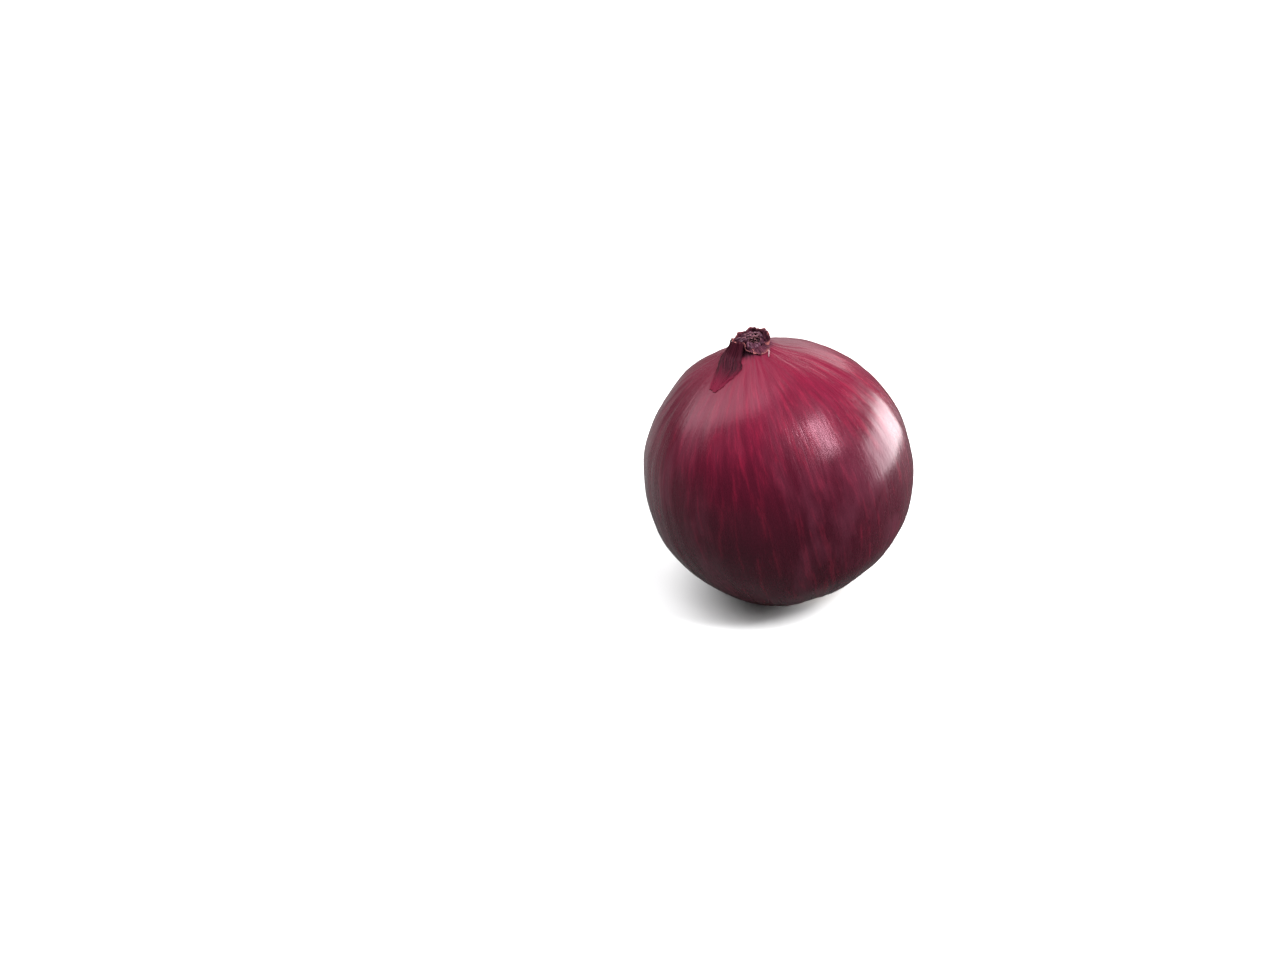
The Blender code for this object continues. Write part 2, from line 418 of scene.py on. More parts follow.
placed = set_down(shape + normals * relief[:, None])
under_plate = smooth(station, PLATE_RIM - 0.02, PLATE_RIM)
placed[:, 2] = np.maximum(placed[:, 2], PLATE_GAP * under_plate)
write_points(skin, placed)
bpy.ops.object.shade_smooth()
bulb_tree = BVHTree.FromObject(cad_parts["bulb"], bpy.context.evaluated_depsgraph_get())
sample = [bulb_tree.find_nearest(Vector(p))[3] for p in placed[::211] if p[2] < bulb_high[2] - 8 * MM]
print("skin to packed bulb, largest distance in mm:", round(max(sample) / MM, 2))

# %% [markdown]
# The material needs to know where on the onion it is. So some facts are stored on the points: a place
# that runs round the axis without a seam, how far down the meridian a point lies, whether it is on a
# vein, and how much it belongs to the dry neck, to the torn lip and to the root plate.

# %% Facts stored on the skin
DRY_RUN, EDGE_WIDTH = 3.2 * MM, 0.22 * MM


def store(piece, name, values):
    """A number for each point, or a triple where values has three columns."""
    kind = "FLOAT_VECTOR" if values.ndim == 2 else "FLOAT"
    layer = piece.data.attributes.new(name, kind, "POINT")
    layer.data.foreach_set("vector" if values.ndim == 2 else "value", values.ravel().astype(np.float32))


rounding = np.stack([np.cos(wandering), np.sin(wandering), along * 3.0], axis=1)
store(skin, "round_place", rounding)
store(skin, "down", along)
neck_part = np.maximum(np.exp(-from_neck / DRY_RUN), (station < FOOT) * 1.0)
store(skin, "dry_neck", neck_part)
below_lip = foot_height + lip - height
edge = np.exp(-(below_lip / EDGE_WIDTH) ** 2) * (station < FOOT)
store(skin, "lip", edge)
store(skin, "vein", vein_line * body_only)
store(skin, "plate", smooth(station, PLATE_RIM - 0.012, PLATE_RIM))
print("facts on the skin:", [a.name for a in skin.data.attributes if not a.is_internal])

# %% [markdown]
# Shader maths reads best as plain sums. The class Number wraps a socket, so that + - * / on it add the
# Math nodes. Finish is a material under construction: its method add takes a node's type, its
# settings and what goes into its sockets.

# %% Helpers for materials
class Number:
    """A socket that holds a number, with arithmetic."""

    def __init__(self, tree, socket):
        self.tree, self.socket = tree, socket

    def maths(self, operation, first, second=None):
        """A Math node. Each input is a number or a socket that holds one."""
        node = self.tree.nodes.new("ShaderNodeMath")
        node.operation = operation
        for slot_number, value in enumerate((first, second)):
            if isinstance(value, Number):
                self.tree.links.new(value.socket, node.inputs[slot_number])
            elif value is not None:
                node.inputs[slot_number].default_value = value
        return Number(self.tree, node.outputs[0])

    def __add__(self, other):
        return self.maths("ADD", self, other)

    def __sub__(self, other):
        return self.maths("SUBTRACT", self, other)

    def __rsub__(self, other):
        return self.maths("SUBTRACT", other, self)

    def __mul__(self, other):
        return self.maths("MULTIPLY", self, other)

    def __abs__(self):
        return self.maths("ABSOLUTE", self)

    __radd__ = __add__
    __rmul__ = __mul__

    def held(self):
        """The same number, kept between 0 and 1."""
        kept = self.maths("ADD", self, 0.0)
        kept.socket.node.use_clamp = True
        return kept


class Finish:
    """A material under construction."""

    def __init__(self, name, roughness, specular=0.5, tint=(1.0, 1.0, 1.0)):
        self.material = bpy.data.materials.new(name)
        self.material.use_nodes = True
        self.tree = self.material.node_tree
        self.shader = self.tree.nodes["Principled BSDF"]
        for socket, value in (
            ("Roughness", roughness),
            ("Specular IOR Level", specular),
            ("Specular Tint", (*tint, 1.0)),
        ):
            self.shader.inputs[socket].default_value = value

    def add(self, kind, settings=None, sockets=None, out=0):
        """A node, with its settings first and then its sockets. Gives its output socket."""
        node = self.tree.nodes.new("ShaderNode" + kind)
        for name, value in (settings or {}).items():
            setattr(node, name, value)
        for name, value in (sockets or {}).items():
            self.fill(node.inputs[name], value)
        return node.outputs[out]

    def fill(self, socket, value):
        """Links or sets a socket, whichever the value asks for."""
        if isinstance(value, Number):
            self.tree.links.new(value.socket, socket)
        elif isinstance(value, bpy.types.NodeSocket):
            self.tree.links.new(value, socket)
        else:
            socket.default_value = value

    def number(self, socket):
        """A socket made ready for arithmetic."""
        return Number(self.tree, socket)

    def fact(self, name):
        """A number stored on the points."""
        return self.number(self.add("Attribute", {"attribute_name": name}, out=2))

    def place(self, name, stretch):
        """A stored place, stretched by a factor along each axis."""
        stored = self.add("Attribute", {"attribute_name": name}, out=1)
        return self.add("Mapping", None, {"Vector": stored, "Scale": stretch})

    def towards(self, name, direction):
        """How far a stored place round the axis lies towards a direction, from -1 to 1."""
        level = self.place(name, (1.0, 1.0, 0.0))
        settings, sockets = {"operation": "DOT_PRODUCT"}, {0: level, 1: direction}
        return self.number(self.add("VectorMath", settings, sockets, out=1))

    def noise(self, place, scale, detail=3.0, rough=0.5, twist=0.0):
        """A noise with a mean of about a half."""
        sockets = {"Vector": place, "Scale": scale, "Detail": detail, "Roughness": rough,
                   "Distortion": twist}
        return self.number(self.add("TexNoise", None, sockets))

    def band(self, value, low, high):
        """0 below low and 1 above high."""
        sockets = {"Value": value, "From Min": low, "From Max": high}
        settings = {"interpolation_type": "SMOOTHSTEP"}
        return self.number(self.add("MapRange", settings, sockets))

    def mix(self, share, first, second, blend="MIX"):
        """A colour between two colours."""
        node = self.tree.nodes.new("ShaderNodeMix")
        node.data_type = "RGBA"
        node.blend_type = blend
        self.fill(node.inputs[0], share)
        for slot_number, value in ((6, first), (7, second)):
            opaque = (*value, 1.0) if isinstance(value, tuple) else value
            self.fill(node.inputs[slot_number], opaque)
        return node.outputs[2]

    def put_on(self, piece):
        """Makes this the piece's only finish."""
        piece.data.materials.clear()
        piece.data.materials.append(self.material)

    def finish(self, colour, roughness=None, bump=()):
        """Links the results to the shader."""
        self.fill(self.shader.inputs["Base Color"], colour)
        if roughness is not None:
            self.fill(self.shader.inputs["Roughness"], roughness)
        normal = None
        for height_value, depth in bump:
            sockets = {"Height": height_value, "Distance": depth, "Strength": 1.0}
            if normal is not None:
                sockets["Normal"] = normal
            normal = self.add("Bump", None, sockets)
        if normal is not None:
            self.fill(self.shader.inputs["Normal"], normal)


print("materials are built with Number and Finish")

# %% [markdown]
# The skin's colour is deep maroon, with crimson between the veins. The streaks come from noise that
# is sampled on the stored place, where one turn round the onion is a circle. The noise is squeezed
# round the axis and drawn out along it, so each blotch becomes a streak that follows the leaf. The
# glints on onion skin are pinkish, as the light passes a coloured film, so the highlight is tinted.

# %% Streaks of the skin
look = Finish("purple_skin", 0.30, specular=0.18, tint=(1.0, 0.50, 0.64))
down = look.fact("down")
broad = look.noise(look.place("round_place", (5.0, 5.0, 1.1)), 1.0, 3.0, 0.55)
streak = look.noise(look.place("round_place", (17.0, 17.0, 3.4)), 1.0, 4.0, 0.60, 0.3)
thread = look.noise(look.place("round_place", (58.0, 58.0, 5.5)), 1.0, 3.0, 0.55, 0.2)
hair = look.noise(look.place("round_place", (150.0, 150.0, 16.0)), 1.0, 2.0, 0.5)
bloom = look.noise(look.place("round_place", (2.6, 2.6, 1.5)), 1.0, 3.0, 0.55, 0.2)
vein = look.fact("vein")
print("streaks: broad, streak, thread and hair, each finer than the last")

# %% [markdown]
# The upper part of the front right side, where the lights fall, is a fresher red: painted light.
# Downwards the colour darkens as painted shade, fine threads darken it further, and red lines run
# where a thread and a streak meet. Near the neck the streaks fade into a calm even red, which turns
# greyer at the back: a painted reflection of the pale backdrop. A dull bloom lies over all.

# %% Colours of the skin
MAROON, DARK = (0.058, 0.0052, 0.0140), (0.028, 0.0034, 0.0080)
CRIMSON, RED = (0.138, 0.0064, 0.0245), (0.250, 0.0115, 0.0330)
BLOOM, CALM, PAINTED_REFLECTION_GREY = (0.135, 0.030, 0.054), (0.118, 0.0066, 0.0215), (0.080, 0.026, 0.035)
LIGHTS_WAY, REAR_WAY = (0.64, -0.77, 0.0), (0.50, 0.87, 0.0)
# Painted light: a fresher red on the upper front right side, where the lights fall.
facing_lights = look.band(look.towards("round_place", LIGHTS_WAY) + broad * 0.8, 0.2, 1.2)
painted_lit_red = facing_lights * look.band(0.44 - down + streak * 0.12, 0.0, 0.34)
tone = look.band(streak * 0.75 + broad * 0.5, 0.46, 0.90) * (0.15 + 0.42 * painted_lit_red) + 0.40 * painted_lit_red
colour = look.mix(tone.held(), MAROON, CRIMSON)
# Painted shade: darker towards the bottom, where the lower half stands in shade.
colour = look.mix(look.band(down + broad * 0.16 - streak * 0.09, 0.27, 0.61) * 0.88, colour, DARK)
colour = look.mix(look.band(thread, 0.48, 0.72) * 0.22, colour, DARK)
red_line = look.band(1.0 - abs(thread - 0.45) * 10.0, 0.3, 1.0) * look.band(streak, 0.44, 0.62)
colour = look.mix(red_line * (0.05 + 0.26 * painted_lit_red), colour, RED)
colour = look.mix(vein * look.band(streak, 0.44, 0.62) * 0.14, colour, RED)
colour = look.mix(look.band(bloom + streak * 0.2, 0.58, 0.80) * 0.20, colour, BLOOM)
calm = 1.0 - look.band(down + broad * 0.1, 0.08, 0.30)
colour = look.mix(calm * 0.55, colour, CALM)
# Painted reflection: greyer near the neck at the back, as if the pale backdrop were mirrored there.
painted_reflection = calm * look.band(look.towards("round_place", REAR_WAY), 0.1, 0.9)
colour = look.mix(painted_reflection * 0.9, colour, PAINTED_REFLECTION_GREY)
print("nodes so far:", len(look.tree.nodes))

# %% [markdown]
# The dry neck is a dark husk with paler fibres, its torn lip is tan in places, and the root plate is
# cork. The skin shines most on the belly. Towards the neck it grows duller, and the husk and the cork
# are nearly matt. What is too fine to model, the streaks and threads of the leaf, is left to bump.

# %% Neck, lip, plate and shine
HUSK_DARK, HUSK_PALE = (0.020, 0.0045, 0.010), (0.085, 0.020, 0.036)
CORK_DARK, CORK_PALE = (0.16, 0.085, 0.05), (0.34, 0.22, 0.13)
LIP_TAN = (0.36, 0.12, 0.11)
neck = look.fact("dry_neck")
husk = look.mix(look.band(thread + hair * 0.3, 0.50, 0.85), HUSK_DARK, HUSK_PALE)
colour = look.mix(look.band(neck + streak * 0.4, 0.62, 1.05), colour, husk)
colour = look.mix(look.fact("lip") * look.band(broad + hair * 0.5, 0.62, 0.88), colour, LIP_TAN)
cork = look.mix(look.band(thread, 0.40, 0.62), CORK_DARK, CORK_PALE)
colour = look.mix(look.fact("plate"), colour, cork)
rough = 0.13 + 0.10 * streak + 0.08 * thread + 0.12 * bloom + 0.22 * calm
rough = rough + 0.30 * look.band(neck, 0.35, 1.0) + 0.4 * look.fact("plate")
look.finish(colour, rough.held(), bump=((streak, 0.00013), (thread, 0.00003), (hair, 0.00002)))
look.put_on(skin)
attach(skin, "root")
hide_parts("bulb")
print("skin:", len(skin.data.polygons), "faces")

# %% [markdown]
# Inside the neck are the dried ends of the younger leaves, shrunk and crumpled into each other. Each
# one starts as a grid that is rolled about the growth axis. It is gathered into folds, drawn together
# towards its top, creased with noise and spilt a little towards the open side of the mouth. Solidify
# gives it its papery thickness afterwards, so both sides stay even.

# %% One crumpled leaf end
LEAF_THICKNESS = 0.16 * MM
CREASE_SIZE, CREASE_DEPTH = 2.6 * MM, 0.42 * MM
CREASE_SEED = 1  # without a seed, the vector noise would follow the clock
LEAF_ROOT = 0.9 * MM  # how far below the neck's foot a leaf end starts
GATHER = 0.42  # share of its radius that a leaf end loses towards its top
LEAVES = (  # middle heading and half arc in degrees, radius and height as shares of the neck's
    (128.0, 150.0, 0.88, 0.98),
    (205.0, 128.0, 0.70, 0.95),
    (15.0, 150.0, 0.52, 0.92),
    (285.0, 150.0, 0.34, 0.95),
    (100.0, 140.0, 0.17, 0.98),
)
noise.seed_set(CREASE_SEED)


def crease(point, size, depth, seed):
    """A wrinkled push for a point, with folds of about the given size."""
    at = Vector(point) / size + Vector((seed * 7.3, seed * 3.1, 0.0))
    push = noise.noise_vector(at) + 0.5 * noise.noise_vector(at * 2.1)
    return push * depth


def thicken(piece, thickness):
    """Gives a sheet its thickness, evenly to both sides, and shades it smooth."""
    thick = piece.modifiers.new("papery_thickness", "SOLIDIFY")
    thick.thickness = thickness
    thick.offset = 0.0
    bpy.ops.object.modifier_apply(modifier=thick.name)
    bpy.ops.object.shade_smooth()


def leaf_points(number, turn, rise, wide, tall):
    """Where the points of a leaf end lie, about the growth axis."""
    fold = ripples(turn, rise * 0.8, 4, 11, 60 + number)
    crimp = ripples(turn, rise * 1.5, 12, 22, 70 + number)
    top = lip_height(turn) * 0.55 + NECK_LENGTH * (0.36 + 0.05 * ripples(turn, 0.0, 5, 16, 80 + number))
    top = top + NECK_LENGTH * 0.03 * ripples(turn, 0.0, 30, 70, 90 + number)
    gathered = 1.0 - GATHER * rise ** 2
    out = NECK * wide * gathered * (1.0 - 0.9 * groove_share(turn))
    out = np.abs(out + (0.14 + 0.30 * rise) * MM * fold + 0.05 * MM * crimp * rise)
    lift = foot_height - LEAF_ROOT + (tall * top + LEAF_ROOT) * np.sin(1.62 * rise)
    points = np.stack([out * np.cos(turn), out * np.sin(turn), lift], axis=1)
    spill = (0.3 + 0.3 * number) * MM * rise ** 2
    points[:, 0] += math.cos(MOUTH_HEADING) * spill
    points[:, 1] += math.sin(MOUTH_HEADING) * spill
    return nod(points)


def rolled_leaf(number, middle, half_arc, wide, tall):
    """One dried leaf end, rolled about the growth axis and folded along its length."""
    start_clean()
    bpy.ops.mesh.primitive_grid_add(x_subdivisions=150, y_subdivisions=30, size=2.0)
    leaf = bpy.context.object
    leaf.name = f"neck_leaf_{number + 1}"
    grid = read_points(leaf)
    side, rise = grid[:, 0], (grid[:, 1] + 1.0) / 2.0
    turn = math.radians(middle) + math.radians(half_arc) * side
    points = leaf_points(number, turn, rise, wide, tall)
    for index, point in enumerate(points):
        points[index] += crease(point, CREASE_SIZE, CREASE_DEPTH * rise[index], number)
    write_points(leaf, set_down(points))
    store(leaf, "rise", rise)
    store(leaf, "round_place", np.stack([side, rise * 0.3, side * 0.0 + number], axis=1))
    thicken(leaf, LEAF_THICKNESS)
    return leaf


print("leaf ends to roll:", len(LEAVES))

# %% [markdown]
# The dried leaf ends are dark purple husk, with paler fibres along them, lighter lilac patches that
# are painted highlights, and a pinkish torn edge. Each leaf end is made from its row of the table and
# gets the same finish. The stored place holds the leaf's number too, so no two have the same pattern.

# %% The leaf ends and their finish
LEAF_DARK, LEAF_PALE = (0.014, 0.003, 0.007), (0.078, 0.020, 0.038)
LEAF_PAINTED_HIGHLIGHT, LEAF_EDGE = (0.130, 0.046, 0.076), (0.36, 0.16, 0.17)
dry = Finish("crumpled_husk", 0.50, specular=0.40, tint=(1.0, 0.62, 0.80))
fibre = dry.noise(dry.place("round_place", (30.0, 3.0, 5.0)), 1.0, 4.0, 0.6, 0.4)
painted_highlight_patch = dry.noise(dry.place("round_place", (4.0, 2.0, 5.0)), 1.0, 3.0, 0.6)
husk = dry.mix(dry.band(fibre, 0.38, 0.66), LEAF_DARK, LEAF_PALE)
# Painted highlight: lilac patches where the crumpled leaf ends would catch the light.
husk = dry.mix(dry.band(painted_highlight_patch, 0.50, 0.66) * 0.7, husk, LEAF_PAINTED_HIGHLIGHT)
torn_edge = dry.band(dry.fact("rise") + fibre * 0.06, 0.995, 1.03)
husk = dry.mix(torn_edge * 0.45, husk, LEAF_EDGE)
dry.finish(husk, (0.34 + 0.3 * fibre).held(), bump=((fibre, 0.00010),))
for number, leaf_sizes in enumerate(LEAVES):
    leaf = rolled_leaf(number, *leaf_sizes)
    dry.put_on(leaf)
    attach(leaf, "root")
    print(leaf.name, "faces:", len(leaf.data.polygons))

# %% [markdown]
# One fibre has torn loose from the lip. It starts on the drooping part and lies down over the
# shoulder. It is a narrow ribbon, bowed upward and twisted a little, in the paler finish of a leaf's
# inner side.

# %% A torn strand
STRAND_START = np.array([5.6, -4.6, -1.0]) * MM  # from the middle of the neck's foot
STRAND_RUN = np.array([0.1, -2.3, -1.25]) * MM
STRAND_HALF, STRAND_SWAY, STRAND_BOW = 0.22 * MM, 0.12 * MM, 0.25 * MM
start_clean()
bpy.ops.mesh.primitive_grid_add(x_subdivisions=6, y_subdivisions=40, size=2.0)
strand = bpy.context.object
strand.name = "torn_strand"
grid = read_points(strand)
across, rise = grid[:, 0], (grid[:, 1] + 1.0) / 2.0
wide = STRAND_HALF * (1.0 - 0.5 * rise)
middle_line = STRAND_START + STRAND_RUN * rise[:, None] + np.array([0.0, 0.0, foot_height])
middle_line[:, 0] += STRAND_SWAY * np.sin(5.0 * rise)
middle_line[:, 2] += STRAND_BOW * np.sin(math.pi * rise)
twist = 0.9 * rise - 0.3
sideways = np.stack([np.cos(twist), 0.0 * twist, np.sin(twist)], axis=1)
ribbon = middle_line + sideways * (across * wide)[:, None]
write_points(strand, set_down(nod(ribbon)))
store(strand, "round_place", np.stack([across * 0.2, rise * 0.6, across * 0.0], axis=1))
thicken(strand, LEAF_THICKNESS)
pale = Finish("pale_fibre", 0.50, specular=0.35)
grain = pale.noise(pale.place("round_place", (40.0, 4.0, 1.0)), 1.0, 3.0, 0.6)
pale.finish(pale.mix(pale.band(grain, 0.35, 0.65), (0.15, 0.060, 0.078), (0.36, 0.20, 0.22)))
pale.put_on(strand)
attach(strand, "root")
print("strand:", round(np.linalg.norm(STRAND_RUN) / MM, 1), "mm long")

# %% [markdown]
# An older outer scale has dried, torn and shrunk to a pleated strip. It hangs from the neck's rim,
# runs down over the tent of skin and lies on the shoulder, narrow at the rim and widest a third of
# the way down. It starts as a grid, which is laid out above the same curve as the skin.

# %% The loose dry scale, laid out
SCALE_START, SCALE_HEADING = math.radians(203.0), math.radians(232.0)
SCALE_REACH = 13.4 * MM
RIM_HALF, WIDENING, NARROWING = 2.5, 2.0, 1.8  # half widths in millimetres
start_clean()
bpy.ops.mesh.primitive_grid_add(x_subdivisions=110, y_subdivisions=120, size=2.0)
scale = bpy.context.object
scale.name = "loose_dry_scale"
grid = read_points(scale)
side, run = grid[:, 0], (grid[:, 1] + 1.0) / 2.0
tear = 0.020 * np.sin(7.0 * side) + 0.012 * np.sin(19.0 * side + 1.0)
tip = np.sqrt(np.clip(1.0 - (0.95 * side) ** 2, 0.0, 1.0))
reach = NECK * 1.02 + SCALE_REACH * run * (1.0 + tear) * (0.72 + 0.28 * tip)
half = (RIM_HALF + WIDENING * smooth(run, 0.0, 0.34) - NARROWING * smooth(run, 0.45, 1.0)) * MM
half = half * (1.0 + 0.03 * np.sin(19.0 * run) + 0.02 * np.sin(43.0 * run + 1.0))
middle_turn = SCALE_START + (SCALE_HEADING - SCALE_START) * smooth(run, -0.25, 0.60)
turn = middle_turn + side * half / reach
bare = nod(place_on_axis(reach, turn, crown_height(reach)))
at_rim = NOD * np.exp(-(run / 0.13) ** 2)
bare[:, 0] += math.cos(MOUTH_HEADING) * at_rim
bare[:, 1] += math.sin(MOUTH_HEADING) * at_rim
print("scale:", round(2 * half.max() / MM, 1), "mm wide")

# %% [markdown]
# Each point of the strip is dropped on to the skin by a ray, so that the strip follows every pleat
# beneath it. The drop slants inwards a little, as the skin does there. The topmost part is then led
# up to the rim instead. Last, a few rounds of smoothing take out the jumps between neighbours.

# %% Drop the scale on to the skin
DROP_OUT, DROP_UP, DROP_FROM, DROP_FAR = 0.35, 0.94, 5.0 * MM, 9.0 * MM
HANG = 0.16  # share of the strip that is led up to the rim
skin_tree = BVHTree.FromObject(skin, bpy.context.evaluated_depsgraph_get())
push = np.column_stack([DROP_OUT * np.cos(turn), DROP_OUT * np.sin(turn), np.full_like(turn, DROP_UP)])
frame_push = push @ LEANED_AXES.T
start = set_down(bare) + frame_push * DROP_FROM
landed = np.empty_like(start)
missed = 0
for index, (origin, way) in enumerate(zip(start, -frame_push)):
    hit = skin_tree.ray_cast(Vector(origin), Vector(way), DROP_FAR)[0]
    missed += hit is None
    landed[index] = hit if hit else origin + way * DROP_FROM
rim_reach = NECK * 1.17 * (1.0 - groove_share(turn))
rim = place_on_axis(rim_reach, turn, foot_height + lip_height(turn) - 0.25 * MM)
hung = smooth(run, 0.0, HANG)[:, None]
landed = set_down(nod(rim)) * (1.0 - hung) + landed * hung
write_points(scale, landed)
bpy.ops.object.mode_set(mode="EDIT")
bpy.ops.mesh.select_all(action="SELECT")
bpy.ops.mesh.vertices_smooth(factor=0.5, repeat=4)
bpy.ops.object.mode_set(mode="OBJECT")
print("scale points that missed the skin:", missed)

# %% [markdown]
# The strip is lifted by its own lengthwise folds, which flatten towards its sides and its lower end.
# In the middle it arches off the skin a little. Then it gets its thickness.

# %% Folds of the scale
FOLD_HIGH, ARCH, LEAST_LIFT = 0.30, 0.60, 0.13  # millimetres
SCALE_THICKNESS = 0.10 * MM
ridge = ripples(side, run * 1.6, 5, 15, 31) + 0.30 * ripples(side, run * 2.0, 22, 44, 32)
standing = 1.0 - np.clip(np.abs(side), 0.0, 1.0) ** 4
folds = FOLD_HIGH * MM * np.clip(ridge + 0.7, 0.0, 2.4) * standing * (1.0 - 0.88 * run ** 2)
lifted = LEAST_LIFT * MM + folds
lifted += ARCH * MM * np.exp(-((run - 0.30) / 0.25) ** 2) * (1.0 - side ** 2) * standing
write_points(scale, read_points(scale) + frame_push * lifted[:, None])
store(scale, "round_place", np.stack([side, run * 0.4, side * 0.0], axis=1))
store(scale, "rim", smooth(np.maximum(np.abs(side), run), 0.93, 1.0))
store(scale, "run", run)
thicken(scale, SCALE_THICKNESS)
print("scale lifted by up to", round(lifted.max() / MM, 2), "mm")

# %% [markdown]
# The scale is nearly matt: a dark, brownish maroon at the neck, that turns as red as the skin below
# towards its lower end, with fibres along it and a slightly lighter edge.

# %% Finish of the scale
SCALE_DARK, SCALE_PALE = (0.011, 0.0022, 0.0046), (0.047, 0.0066, 0.0138)
SCALE_RED, SCALE_EDGE = (0.100, 0.0062, 0.0200), (0.150, 0.020, 0.035)
papery = Finish("papery_scale", 0.5, specular=0.06, tint=(1.0, 0.5, 0.65))
rib = papery.noise(papery.place("round_place", (22.0, 2.2, 1.0)), 1.0, 4.0, 0.6, 0.3)
cloud = papery.noise(papery.place("round_place", (3.0, 4.0, 1.0)), 1.0, 3.0, 0.6)
tone = papery.mix(papery.band(rib, 0.36, 0.66), SCALE_DARK, SCALE_PALE)
redder = papery.band(papery.fact("run") + cloud * 0.5, 0.60, 1.15)
tone = papery.mix(redder * 0.95, tone, SCALE_RED)
tone = papery.mix(papery.fact("rim") * papery.band(cloud, 0.45, 0.6) * 0.5, tone, SCALE_EDGE)
papery.finish(tone, (0.40 + 0.25 * rib).held(), bump=((rib, 0.00010),))
papery.put_on(scale)
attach(scale, "root")
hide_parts("loose_scale")
print("scale:", len(scale.data.polygons), "faces")

# %% [markdown]
# Under the onion sits the root plate, the short corky stem that the leaves and roots grow from. It is
# a flattened ball, roughened, and pressed flat where the onion rests on it.

# %% The root plate
PLATE_SIZE, PLATE_SWELL, PLATE_BUMPS = 7.6 * MM, 1.1, 0.35
start_clean()
bpy.ops.mesh.primitive_uv_sphere_add(segments=160, ring_count=80, radius=1.0)
plate_piece = bpy.context.object
plate_piece.name = "root_plate"
ball = read_points(plate_piece)
turn = np.arctan2(ball[:, 1], ball[:, 0])
ring = np.hypot(ball[:, 0], ball[:, 1])
ragged = 1.0 + 0.05 * ripples(turn, 0.0, 5, 22, 41)
bumps = np.array([noise.noise(Vector(p) * 5.0) + 0.6 * noise.noise(Vector(p) * 13.0) for p in ball])
disc = np.stack([
    ball[:, 0] * PLATE_SIZE * ragged,
    ball[:, 1] * PLATE_SIZE * ragged,
    -PLATE + ball[:, 2] * PLATE_SWELL * MM + bumps * PLATE_BUMPS * MM + 0.12 * MM * np.cos(ring * 26.0),
], axis=1)
disc = set_down(disc)
disc[:, 2] = np.maximum(disc[:, 2], 0.0)
write_points(plate_piece, disc)
bpy.ops.object.shade_smooth()
corky = Finish("corky_plate", 0.9, specular=0.2)
grain = corky.noise(corky.add("TexCoord", out=3), 900.0, 4.0, 0.65)
patch = corky.noise(corky.add("TexCoord", out=3), 260.0, 3.0, 0.6)
earth = corky.mix(corky.band(grain, 0.36, 0.66), (0.10, 0.055, 0.032), (0.36, 0.25, 0.15))
earth = corky.mix(corky.band(patch, 0.52, 0.70) * 0.6, earth, (0.20, 0.10, 0.085))
corky.finish(earth, bump=((grain, 0.0003), (patch, 0.0004)))
corky.put_on(plate_piece)
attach(plate_piece, "root")
print("root plate:", round(2 * PLATE_SIZE / MM, 1), "mm across")

# %% [markdown]
# The roots are dried and wiry. Where the plate lifts off the surface there is a wedge of room, and the
# roots run out through it: down from the plate, then along the surface, curling as they go. They are
# longer at the back, where the onion's lean leaves more room. The height of the skin above the surface
# is looked up by a ray, so that no root cuts into the bulb.

# %% The way of a root
ROOTS = 46
ROOT_THICK = 0.32 * MM
ROOT_STEP = 0.45 * MM
FRONT_LIMIT = -5.0 * MM  # roots that come out further forward than this are broken off


def room_over(point):
    """Height of the bulb's underside over a point of the resting surface."""
    hit = skin_tree.ray_cast(Vector((point.x, point.y, -MM)), Vector((0, 0, 1)))[0]
    return hit.z if hit else 1.0


def root_path(rng):
    """Points of one root, or nothing where there is no room for it."""
    turn = rng.uniform(0.0, math.tau)
    out = PLATE_SIZE * rng.uniform(0.35, 0.98)
    here = to_frame(Vector((out * math.cos(turn), out * math.sin(turn), -PLATE)))
    away = here - to_frame(Vector((0, 0, -PLATE)))
    away.z = 0.0
    if room_over(here) < 2.2 * ROOT_THICK:
        return []
    way = away.normalized() * rng.uniform(0.3, 0.9) + Vector((0.15, 0.12, -rng.uniform(0.5, 1.1)))
    length = rng.uniform(4.5, 10.5) * MM * (1.0 if way.y > 0.15 else 0.35)
    path = [here]
    for _ in range(int(length / ROOT_STEP)):
        way = (way + Vector([rng.uniform(-0.42, 0.42) for _ in range(3)])).normalized()
        here = here + way * 0.45 * MM
        if here.y < FRONT_LIMIT:
            break
        ceiling = room_over(here) - ROOT_THICK * 1.3
        if ceiling < ROOT_THICK:
            break
        here.z = min(max(here.z, ROOT_THICK * 0.6), ceiling)
        path.append(here.copy())
    return path if len(path) > 4 else []


print("roots wanted:", ROOTS)

# %% [markdown]
# Each root is a smooth curve through its points, with a thin round bevel that tapers. The curves are
# made into meshes and joined into one tuft. Whatever would dip under the surface is pressed flat.

# %% The tuft of roots
def root_object(number, path):
    """One root as a tapering curve."""
    curve = bpy.data.curves.new(f"root_{number}", "CURVE")
    curve.dimensions = "3D"
    curve.bevel_depth = ROOT_THICK
    curve.bevel_resolution = 2
    curve.use_fill_caps = True
    spline = curve.splines.new("NURBS")
    spline.points.add(len(path) - 1)
    for index, point in enumerate(path):
        spline.points[index].co = (*point, 1.0)
        spline.points[index].radius = 1.0 - 0.72 * index / len(path)
    spline.order_u = 4
    spline.use_endpoint_u = True
    spline.resolution_u = 3
    piece = bpy.data.objects.new(f"root_{number}", curve)
    bpy.context.scene.collection.objects.link(piece)
    return piece


root_rng = random.Random(12)
roots = []
while len(roots) < ROOTS:
    path = root_path(root_rng)
    if path:
        roots.append(root_object(len(roots), path))
start_clean()
for piece in roots:
    piece.select_set(True)
bpy.context.view_layer.objects.active = roots[0]
bpy.ops.object.convert(target="MESH")
bpy.ops.object.join()
tuft = bpy.context.object
tuft.name = "dried_roots"
strands = read_points(tuft)
strands[:, 2] = np.maximum(strands[:, 2], 0.0)
write_points(tuft, strands)
bpy.ops.object.shade_smooth()
print("roots:", len(roots), "with", len(tuft.data.polygons), "faces")

# %% [markdown]
# Dried roots are straw-coloured and matt, with darker stains. The pattern is too fine to need a
# direction, so it reads the piece's own Object coordinates.

